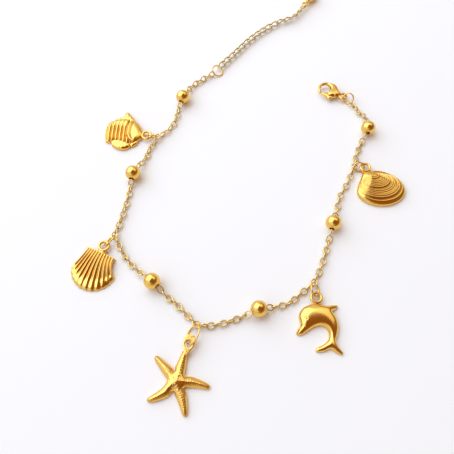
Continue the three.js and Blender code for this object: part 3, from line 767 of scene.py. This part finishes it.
def dolphin_shells():
    outline = smooth_loop([
        (0.0, -1.15), (-1.1, -1.35), (-2.9, -2.1), (-3.9, -3.1), (-4.35, -4.2), (-4.25, -5.3), (-4.1, -6.3),
        (-4.75, -7.3), (-5.2, -8.15), (-4.95, -8.65), (-4.2, -8.75),
        (-3.0, -8.15), (-1.2, -7.05), (0.3, -6.55),
        (1.6, -7.0), (2.25, -8.1), (2.15, -9.5), (1.3, -10.5), (0.2, -11.2), (-0.95, -11.75), (-1.0, -12.4),
        (0.7, -12.45), (2.35, -11.9), (3.3, -12.5), (4.4, -13.05),
        (5.05, -13.1), (5.05, -12.65), (4.25, -11.4),
        (3.75, -10.2), (4.25, -8.6), (4.7, -6.8), (4.55, -5.1), (3.95, -3.75), (3.6, -3.25), (4.2, -2.75),
        (5.0, -2.15), (4.85, -1.65), (3.4, -1.65), (2.1, -1.75), (1.0, -1.4),
    ])
    form = Swelling([outline], 0.1)
    beak_way = unit(np.array([-0.5, -0.87]))

    def height(points, depth):
        rise = 2.15 * np.tanh(0.98 * form.at(points, depth) / 2.15)
        from_mouth = points - np.array([-3.75, -6.55])
        along = from_mouth @ beak_way
        across = from_mouth @ np.array([beak_way[1], -beak_way[0]])
        mouth = np.exp(-(((across - 0.12) / 0.1) ** 2)) * smoothstep(-0.3, 0.4, along)
        brow = np.exp(-(((along + 0.1 - 0.25 * across**2) / 0.14) ** 2))
        brow *= smoothstep(1.0, 0.6, np.abs(across))
        from_eye = np.linalg.norm(points - np.array([-2.85, -5.05]), axis=1)
        socket = np.exp(-(((from_eye - 0.3) / 0.09) ** 2))
        marks = 0.15 * mouth + 0.07 * brow + 0.05 * socket
        # The carved mouth, eye socket and brow also get painted shade.
        return rise - marks, np.clip(0.9 * mouth + 0.45 * socket + 0.3 * brow, 0, 1)

    return [relief([outline], height, 0.13, wall=0.3), eye_shell(z=1.05)]


def scallop_shells():
    ribs = 11
    across, down = ribs * 16, 72
    u = np.linspace(-1, 1, across + 1)[None, :]
    v = np.linspace(0, 1, down + 1)[:, None]
    ridge = 0.5 + 0.5 * np.cos(math.pi * ribs * (u + 1) + math.pi)
    lobe = np.sqrt(0.08 + 0.92 * ridge)
    angle = np.radians(88) * u
    fan = 5.42 + 0.2 * lobe
    start_x, start_y = 3.85 * u, -1.66 - 0.45 * u - 0.1 * u**2 + 0 * v
    bend_x, bend_y = 3.85 * u - 0.1, -4.75 - 0.35 * u
    end_x, end_y = 0.1 + fan * np.sin(angle), -6.35 - 0.97 * fan * np.cos(angle)
    x = (1 - v) ** 2 * start_x + 2 * v * (1 - v) * bend_x + v**2 * end_x
    y = (1 - v) ** 2 * start_y + 2 * v * (1 - v) * bend_y + v**2 * end_y
    dome = np.sin(math.pi * np.minimum(1, 0.24 + 0.76 * v**1.15)) * (1 - 0.55 * u**2)
    fade = smoothstep(0.0, 0.1, v) * (1 - 0.8 * smoothstep(0.74, 0.9, v))
    depth = (0.2 + 0.14 * v) * fade
    sides = np.minimum(rounded((1 - np.abs(u)) / 0.05), rounded(v / 0.04))
    rise = 0.32 + 1.28 * dome - depth * (1 - ridge)
    z = 0.3 + np.maximum(rise, 0.05) * np.minimum(rounded((1 - v) / 0.06), sides)
    # Painted shade in the grooves between the ribs.
    shade = 0.7 * (1 - ridge) ** 1.5 * fade * np.ones_like(z)
    top = np.stack([x + 0 * z, y + 0 * z, z], axis=-1).reshape(-1, 3)
    width = across + 1
    faces = []
    for j in range(down):
        for i in range(across):
            a = j * width + i
            faces.append((a, a + width, a + width + 1, a + 1))
    rim = list(range(width))
    rim += [j * width + across for j in range(1, down + 1)]
    rim += [down * width + i for i in range(across - 1, -1, -1)]
    rim += [j * width for j in range(down - 1, 0, -1)]
    body = stood_on_floor(top, faces, shade.reshape(-1), rim[::-1])
    corners = [(-1.3, -2.6), (-1.05, -1.6), (-1.05, -0.75), (1.05, -0.75), (1.05, -1.6), (1.3, -2.6)]
    return [body, neck_shell(corners, swell=0.8), eye_shell()]


def clam_shells():
    outline = smooth_loop([
        (0.35, -1.05), (-0.65, -1.5), (-1.6, -3.4), (-2.65, -5.9),
        (-2.95, -7.8), (-2.25, -9.4), (-0.8, -10.6),
        (1.1, -11.35), (3.5, -11.55), (5.9, -11.1), (7.9, -10.05),
        (9.25, -8.55), (9.85, -6.8), (9.55, -5.0),
        (8.2, -3.15), (6.1, -1.75), (3.7, -0.95), (1.8, -0.75),
    ])
    beak = np.array([1.35, -2.0])
    middle = np.array([2.5, -5.4])

    def share_from(place, points):
        ray = outline - place
        bearing = np.arctan2(ray[:, 1], ray[:, 0])
        order = np.argsort(bearing)
        reach = np.linalg.norm(ray, axis=1)[order]
        offset = points - place
        at = np.arctan2(offset[:, 1], offset[:, 0])
        edge = np.interp(at, bearing[order], reach, period=2 * math.pi)
        return np.linalg.norm(offset, axis=1) / edge

    grooves = ((0.16, 0.8), (0.24, 1.2), (0.54, 1.5), (0.7, 0.8), (0.85, 1.5))

    def height(points, growth, bearing):
        share = share_from(middle, points)
        dome = 1.62 * np.sqrt(np.clip(1 - share**2.3, 0, 1))
        from_left = np.degrees(np.mod(bearing + math.radians(175), 2 * math.pi))
        fade = smoothstep(22, 66, from_left) * smoothstep(215, 178, from_left)
        fine = 0.5 - 0.5 * np.cos(2 * math.pi * growth / 0.05)
        fine *= smoothstep(0.1, 0.2, growth) * smoothstep(0.92, 0.86, growth)
        coarse = sum(k * np.exp(-(((growth - at) / 0.012) ** 2)) for at, k in grooves)
        step = 0.05 * smoothstep(0.85, 0.88, growth)
        cuts = fade * (0.085 * fine + 0.09 * coarse)
        # Painted shade in the growth lines.
        return np.maximum(dome - cuts - step, 0), np.clip(fade * (0.5 * fine + 0.6 * coarse), 0, 1)

    rows, around = 170, len(outline)
    growth = np.repeat(1 - (1 - np.arange(1, rows + 1) / rows) ** 1.12, around)
    flat = beak + growth[:, None] * (np.tile(outline, (rows, 1)) - beak)
    bearing = np.arctan2(*(flat - beak).T[::-1])
    rise, shade = height(flat, growth, bearing)
    tip_rise, tip_shade = height(beak[None], np.zeros(1), np.zeros(1))
    top = np.column_stack([np.vstack([flat, beak]), 0.55 + np.append(rise, tip_rise)])
    faces = [(rows * around, i, (i + 1) % around) for i in range(around)]
    for j in range(rows - 1):
        for i in range(around):
            m = (i + 1) % around
            faces.append((j * around + i, (j + 1) * around + i, (j + 1) * around + m, j * around + m))
    rim = [(rows - 1) * around + i for i in range(around)]
    body = stood_on_floor(top, faces, np.append(shade, tip_shade), rim)
    corners = [(-0.25, -2.6), (-0.6, -1.6), (-0.85, -0.8), (0.85, -0.8), (1.15, -1.5), (1.6, -2.4)]
    return [body, neck_shell(corners), eye_shell()]


def fish_shells():
    nose_to_eye = 1.15
    body = smooth_loop([
        (0.1, 0.0), (-0.25, 1.0), (-0.95, 2.2), (-1.9, 3.3),
        (-3.4, 4.3), (-5.2, 4.75), (-6.9, 4.6), (-8.6, 3.9),
        (-9.9, 3.05), (-10.65, 2.35), (-10.85, 1.0), (-10.75, -0.8), (-10.3, -2.6), (-9.75, -3.95),
        (-9.1, -4.1), (-7.8, -3.7), (-6.0, -3.9), (-4.2, -4.0), (-2.7, -3.85), (-1.6, -3.1), (-0.7, -1.9),
        (-0.1, -0.8),
    ])
    form = Swelling([body], 0.12)
    pitch = 1.08

    def body_height(points, depth):
        x, y = points[:, 0], points[:, 1]
        rise = 1.45 * np.tanh(0.62 * form.at(points, depth) / 1.45)
        leaned = x + 0.14 * y - 0.05 * np.maximum(y - 0.8, 0) ** 2 - 0.035 * np.maximum(-1.2 - y, 0) ** 2
        gill = -4.75 + 0.3 * np.maximum(-0.4 - y, 0) ** 1.6
        rear = smoothstep(0.15, -0.25, leaned - gill)
        band = 0.5 + 0.5 * np.cos(2 * math.pi * (leaned + 4.75 + 0.5 * pitch) / pitch)
        span = smoothstep(-3.9, -3.2, y) * (1 - 0.8 * smoothstep(0.4, 3.0, y))
        groove = (1 - band) ** 1.3 * span * rear
        cover = np.exp(-(((leaned - gill - 0.12) / 0.2) ** 2))
        lip = np.exp(-(((leaned - gill - 0.62) / 0.3) ** 2)) * smoothstep(4.4, 3.0, np.abs(y))
        cheek = np.exp(-(((leaned - gill - 1.45) / 0.16) ** 2)) * smoothstep(3.6, 2.2, np.abs(y - 0.6))
        tail = smoothstep(-9.0, -10.4, x)
        edge = smoothstep(4.6, 3.8, np.abs(y))
        rise = rise - 0.42 * groove - 0.3 * cover * edge + 0.16 * lip - 0.14 * cheek
        # Painted shade: the grooves, the gill cover's edge and the cheek line are darkened, less so towards
        # the tail.
        shade = np.clip(0.9 * groove + 0.8 * cover + 0.4 * cheek, 0, 1) * (1 - 0.6 * tail)
        return np.maximum(rise, 0), shade

    def rayed(loop, root, rays, rise_to, fade_from=0.0):
        swell = Swelling([loop], 0.1)

        def height(points, depth):
            offset = points - np.array(root)
            bearing = np.arctan2(offset[:, 1], offset[:, 0])
            wave = 0.5 - 0.5 * np.cos(rays * bearing)
            reach = smoothstep(fade_from, fade_from + 0.8, np.linalg.norm(offset, axis=1))
            edge = smoothstep(0.0, 0.35, depth)
            rise = rise_to * np.tanh(0.9 * swell.at(points, depth) / rise_to) - 0.03 * wave * reach * edge
            # Painted shade between the fin's rays.
            return np.maximum(rise, 0), 0.35 * wave * reach * edge

        return relief([loop], height, 0.13, wall=0.4)

    dorsal = smooth_loop([
        (-1.6, 2.4), (-1.75, 3.3), (-3.0, 4.3), (-4.4, 5.5),
        (-5.5, 6.5), (-6.05, 7.1), (-6.6, 7.15), (-6.95, 6.7),
        (-6.95, 5.9), (-7.4, 5.1), (-8.5, 4.4), (-9.3, 3.7), (-8.6, 2.0), (-5.0, 2.0),
    ])
    ventral = smooth_loop([
        (-7.6, -2.9), (-8.1, -3.9), (-7.9, -4.6), (-6.9, -5.3), (-5.6, -5.75), (-4.4, -5.75), (-3.3, -5.3),
        (-2.5, -4.4), (-2.7, -3.5), (-5.0, -2.6),
    ])
    chin = smooth_loop([(-2.9, -2.6), (-2.7, -3.9), (-2.1, -4.35), (-1.4, -3.7), (-0.75, -2.6), (-1.2, -1.6)])
    neck = [(-1.1, 0.8), (-0.3, 0.62), (0.35, 0.62), (0.35, -0.62), (-0.3, -0.62), (-1.1, -0.8)]
    pieces = [
        relief([body], body_height, 0.12, wall=0.42),
        rayed(dorsal, (-4.6, 1.0), 34, 0.75, 3.2),
        rayed(ventral, (-5.0, -0.6), 30, 0.95, 3.0),
        rayed(chin, (-2.0, -1.0), 20, 0.6, 1.6),
        neck_shell(neck, wall=0.4),
        eye_shell(x=nose_to_eye),
    ]
    return [moved(piece, x=-nose_to_eye) for piece in pieces]


def arm_point(arm, share, side):
    turn = math.radians(arm["angle"])
    off = arm["bend"] * math.sin(math.pi * share) + side
    reach = arm["length"] * share
    return (
        reach * math.cos(turn) - off * math.sin(turn),
        reach * math.sin(turn) + off * math.cos(turn),
    )


def starfish_shells():
    corners = []
    for number, arm in enumerate(STAR_ARMS):
        corners += [arm_point(arm, share, -half) for share, half in ARM_WIDTHS]
        corners.append(arm_point(arm, 1.0, 0.0))
        corners += [arm_point(arm, share, half) for share, half in reversed(ARM_WIDTHS)]
        after = STAR_ARMS[(number + 1) % len(STAR_ARMS)]["angle"]
        middle = math.radians(arm["angle"] + ((after - arm["angle"]) % 360) / 2)
        corners.append((STAR_CROTCH * math.cos(middle), STAR_CROTCH * math.sin(middle)))
    outline = smooth_loop(corners, per_span=8)
    form = Swelling([outline], 0.1)

    def height(points, depth):
        round_form = 0.9 * form.at(points, depth)
        ridge = 0.95 * depth
        rise = 0.6 * round_form + 0.4 * ridge
        rise = 1.62 * np.tanh(rise * 1.15 / 1.62)
        away = np.linalg.norm(points, axis=1)
        rough = grain(points, 0.3) * smoothstep(0.2, 0.5, depth)
        ripple = np.sin(2 * math.pi * away / 0.5) * smoothstep(1.5, 3.0, away) * smoothstep(0.1, 0.3, depth)
        spots = np.maximum(grain(points, 0.36, 7.0), 0)
        spots = spots * smoothstep(0.3, 0.7, depth) * smoothstep(5.0, 1.0, away)
        tips = smoothstep(6.0, 7.4, away)
        rise = rise + 0.025 * rough + 0.016 * ripple - 0.08 * spots
        # Painted shade: the pits are darkened to stand in for dark reflections on the body, and the arm tips
        # are a little darker.
        return np.maximum(rise, 0), np.clip(1.2 * spots + 0.3 * tips, 0, 1)

    ring = CHARM_RINGS["starfish_ring"]["eye"]
    hole = np.array([ring[0] - STARFISH["x"], ring[1] - STARFISH["y"]])
    turn = math.radians(LONG_ARM["angle"])
    way, across = np.array([math.cos(turn), math.sin(turn)]), np.array([-math.sin(turn), math.cos(turn)])
    end = hole + LONG_ARM["past_hole"] * way
    bows = np.linspace(-90, 90, 9)
    tongue = [
        end + LONG_ARM["tongue"] * (math.cos(math.radians(a)) * way + math.sin(math.radians(a)) * across)
        for a in bows
    ]
    for along, half in ((-0.2, 1.28), (-1.1, 0.95), (-1.9, 0.55), (-2.6, 0.4)):
        tongue.append(hole + along * way + half * across)
        tongue.insert(0, hole + along * way - half * across)
    tongue = smooth_loop(tongue)
    drilled = resampled(hole + oval_points(LONG_ARM["hole"] - 0.1, LONG_ARM["hole"] - 0.1, 60)[:, :2], 0.1)
    tongue_form = Swelling([tongue, drilled], 0.08)

    def tongue_height(points, depth):
        rise = 0.16 * np.tanh(tongue_form.at(points, depth) / 0.16)
        return rise + 0.02 * grain(points, 0.34), np.zeros(len(points))

    flat_end = moved(relief([tongue, drilled], tongue_height, 0.12, 0.1, True), z=ring[2])
    return [relief([outline], height, 0.115, wall=0.35), flat_end]


# ---- clasp ----


def arc(x, y, radius, start, end, steps):
    t = np.radians(np.linspace(start, end, steps))
    return [(x + radius * math.cos(a), y + radius * math.sin(a)) for a in t]


def stretched(outline):
    """Makes the hook's end of an outline a little wider than round."""
    wider = HOOK["stretch"] - 1
    return [(x, y * (1 + wider * float(smoothstep(3.4, HOOK["x"], x)))) for x, y in outline]


def clasp_shells():
    outline = [(0.75, -0.4), (1.3, -0.62), (1.9, -1.05), (2.6, -1.85), (3.3, -2.45), (4.0, -2.6), (4.7, -2.4)]
    outline += arc(HOOK["x"], 0, HOOK["outer"], -88, 72, 18)
    outline += [(6.24, 1.96), (6.33, 1.6)]
    outline += arc(HOOK["x"], 0, HOOK["inner"], 52, -196, 30)
    outline += [(4.45, 0.85), (4.5, 1.2), (4.4, 1.7), (4.15, 2.15)]
    outline += [(3.8, 2.42), (3.1, 2.25), (2.4, 1.8), (1.7, 1.2), (1.1, 0.62), (0.75, 0.4)]
    loop = smooth_loop(stretched(outline), 0.1, 8)
    form = Swelling([loop], 0.07)

    def height(points, depth):
        rise = 1.09 * np.tanh(1.1 * form.at(points, depth) / 1.09)
        return rise, np.zeros(len(points))

    body = relief([loop], height, 0.12, wall=0.08, two_sided=True)
    eye = eye_shell(z=0, radius=0.95, thickness=0.34)
    rivet_profile = [(-1.0, 0.0), (-1.0, 0.2), (-0.95, 0.34), (-0.84, 0.4)]
    rivet_profile += [(0.84, 0.4), (0.95, 0.34), (1.0, 0.2), (1.0, 0.0)]
    rivet = lathe([(a, max(r, 1e-3)) for a, r in rivet_profile], 32)
    points = rivet[0][:, [1, 2, 0]] + np.array([PIVOT[0], PIVOT[1], 0])
    return body, eye, (points, rivet[1], rivet[2])


def lever_shell():
    outline = arc(PIVOT[0], PIVOT[1], 0.8, 140, 300, 10)
    outline += arc(HOOK["x"], 0, HOOK["inner"] + 0.15, 150, 78, 8)
    outline += [(6.18, 1.45), (6.08, 1.95), (5.5, 2.2), (4.9, 2.3), (4.2, 2.45), (3.75, 2.85), (3.3, 3.12)]
    outline += [(2.95, 3.0), (2.8, 2.5), (2.3, 1.85)]
    loop = smooth_loop(stretched(outline), 0.1, 8)
    form = Swelling([loop], 0.07)

    def height(points, depth):
        return 0.44 * np.tanh(1.1 * form.at(points, depth) / 0.44), np.zeros(len(points))

    return relief([loop], height, 0.12, wall=0.06, two_sided=True)


def drop_shells():
    profile = [
        (0.45, 0.02), (0.5, 0.32), (0.75, 0.5), (1.3, 0.55),
        (1.9, 0.66), (2.6, 0.92), (3.5, 1.24), (4.4, 1.46),
        (5.2, 1.5), (5.9, 1.34), (6.5, 0.98), (6.8, 0.55), (6.9, 0.02),
    ]
    body = lathe(catmull_rom(profile, False, 4), 40)
    return [body, eye_shell(z=0, radius=DROP["eye_radius"], thickness=DROP["eye_wire"])]


def make_charms():
    table = [
        ("dolphin", dolphin_shells, DOLPHIN, GOLD),
        ("scallop", scallop_shells, SCALLOP, GOLD),
        ("clam", clam_shells, CLAM, GOLD),
        ("fish", fish_shells, FISH, GOLD),
        ("starfish", starfish_shells, STARFISH, SATIN_GOLD),
    ]
    for name, build, place, material in table:
        shells = [moved(shell, place["x"], place["y"], 0, place["turn"]) for shell in build()]
        make_piece(name + "_relief", shells, material, [name + "_charm"])
    shells = [moved(shell, DROP["x"], DROP["y"], DROP["radius"], DROP["heading"]) for shell in drop_shells()]
    make_piece("extender_drop_round", shells, GOLD, ["extender_drop"])


def cut_slot(piece):
    """Cuts the lever's slot and mouth out of the clasp's body, so that the lever has room to swing."""
    pocket = arc(*PIVOT, SLOT["back"], 130, 290, SLOT["steps"])
    pocket += arc(*PIVOT, SLOT["reach"], -46, 75, SLOT["steps"])
    count = len(pocket)
    flat = np.array(pocket)
    levels = (-SLOT["half_height"], SLOT["half_height"])
    points = np.concatenate([np.column_stack([flat, np.full(count, z)]) for z in levels])
    faces = [tuple(reversed(range(count))), tuple(range(count, 2 * count))]
    faces += [(i, (i + 1) % count, count + (i + 1) % count, count + i) for i in range(count)]
    points, faces, _ = moved(shell_of(points, faces), CLASP["x"], CLASP["y"], CLASP_MIDDLE, CLASP["turn"])
    cutter = object_of("slot_cutter", mesh_of("slot_cutter", points, faces))
    cut = piece.modifiers.new("slot", "BOOLEAN")
    cut.operation = "DIFFERENCE"
    cut.solver = "EXACT"
    cut.object = cutter
    depsgraph = bpy.context.evaluated_depsgraph_get()
    result = bpy.data.meshes.new_from_object(piece.evaluated_get(depsgraph))
    piece.modifiers.remove(cut)
    piece.data = result
    bpy.data.objects.remove(cutter)


def make_clasp():
    body, eye, rivet = clasp_shells()
    place = {"x": CLASP["x"], "y": CLASP["y"], "z": CLASP_MIDDLE, "turn": CLASP["turn"]}
    piece = make_piece("clasp_shell", [moved(body, **place)], GOLD, ["clasp_body"])
    cut_slot(piece)
    fittings = [moved(eye, **place), moved(rivet, **place)]
    make_piece("clasp_eye_and_rivet", fittings, GOLD, ["clasp_body"])
    lever = moved(lever_shell(), **place)
    make_piece("clasp_lever_arm", [lever], GOLD, ["clasp_lever"], LEVER_BODY)


# ---- stage ----


def make_floor():
    size, z = FLOOR["half_size"], FLOOR["height"]
    corners = [(-size, -size, z), (size, -size, z), (size, size, z), (-size, size, z)]
    mesh = bpy.data.meshes.new("floor")
    mesh.from_pydata(corners, [], [(0, 1, 2, 3)])
    floor = object_of("floor", mesh)
    material = bpy.data.materials.new("pale_floor")
    material.use_nodes = True
    surface = material.node_tree.nodes["Principled BSDF"]
    surface.inputs["Base Color"].default_value = (0.96, 0.97, 0.95, 1)
    surface.inputs["Roughness"].default_value = 0.8
    surface.inputs["Specular IOR Level"].default_value = 0.1
    mesh.materials.append(material)


def towards(tree, where, direction, near, far):
    """From 0 at the angle far from a direction to 1 at the angle near to it."""
    facing = node(tree, "ShaderNodeVectorMath", operation="DOT_PRODUCT")
    facing.inputs[1].default_value = Vector(direction).normalized()
    tree.links.new(where, facing.inputs[0])
    spread = node(tree, "ShaderNodeMapRange", interpolation_type="SMOOTHSTEP")
    spread.inputs["From Min"].default_value = math.cos(math.radians(far))
    spread.inputs["From Max"].default_value = math.cos(math.radians(near))
    tree.links.new(facing.outputs["Value"], spread.inputs["Value"])
    return spread.outputs["Result"]


def make_world():
    """A soft room: bright and cool at the window's side, warm and dim at the other,
    dark overhead and pale at the level of the table."""
    world = bpy.data.worlds.new("room")
    bpy.context.scene.world = world
    world.use_nodes = True
    tree = world.node_tree
    link = tree.links.new
    where = node(tree, "ShaderNodeTexCoord").outputs["Generated"]
    ramp = node(tree, "ShaderNodeValToRGB")
    stops = [
        (0.0, (0.22, 0.13, 0.05)),
        (0.3, (0.34, 0.21, 0.1)),
        (0.55, (0.62, 0.5, 0.36)),
        (0.76, (0.86, 0.86, 0.82)),
        (1.0, (1.0, 1.12, 1.45)),
    ]
    link(towards(tree, where, (-0.8, 0.2, 0.56), 0, 150), ramp.inputs["Fac"])
    elements = ramp.color_ramp.elements
    while len(elements) < len(stops):
        elements.new(0.5)
    for element, (position, colour) in zip(elements, stops):
        element.position = position
        element.color = (*colour, 1)
    overhead = towards(tree, where, (0.24, -0.3, 0.92), 27, 45)
    shaded = mixed(tree, overhead, ramp.outputs["Color"], (0.29, 0.12, 0.03))
    above_table = towards(tree, where, (0, 0, 1), 73, 83)
    background = tree.nodes["Background"]
    link(mixed(tree, above_table, (0.86, 0.85, 0.84), shaded), background.inputs["Color"])
    background.inputs["Strength"].default_value = 1.0


def make_light(name, place, size, power, colour):
    data = bpy.data.lights.new(name, "AREA")
    data.size = size
    data.energy = power
    data.color = colour
    lamp = object_of(name, data)
    lamp.location = place
    lamp.rotation_euler = (-Vector(place)).to_track_quat("-Z", "Y").to_euler()


def make_camera():
    elevation = math.radians(CAMERA["elevation"])
    target = Vector((SHEET_ORIGIN[0] * MM, SHEET_ORIGIN[1] * MM, 0))
    data = bpy.data.cameras.new("camera")
    data.sensor_width = CAMERA["sensor"]
    data.lens = CAMERA["sensor"] * CAMERA["focal_to_width"]
    data.clip_start = 0.005
    camera = object_of("camera", data)
    away = Vector((0, -math.cos(elevation), math.sin(elevation)))
    camera.location = target + CAMERA["distance"] * away
    camera.rotation_euler = (-away).to_track_quat("-Z", "Y").to_euler()
    bpy.context.scene.camera = camera


make_camera()
make_world()
make_light("window", (-0.3, 0.22, 0.4), 0.7, 2.25, (0.93, 1.0, 1.06))
make_light("fill", (0.3, 0.25, 0.5), 0.4, 0.35, (1.0, 0.98, 0.95))
make_floor()
make_beads()
make_chain()
make_extender()
make_rings()
make_charms()
make_clasp()
bpy.context.scene.view_settings.view_transform = "Standard"
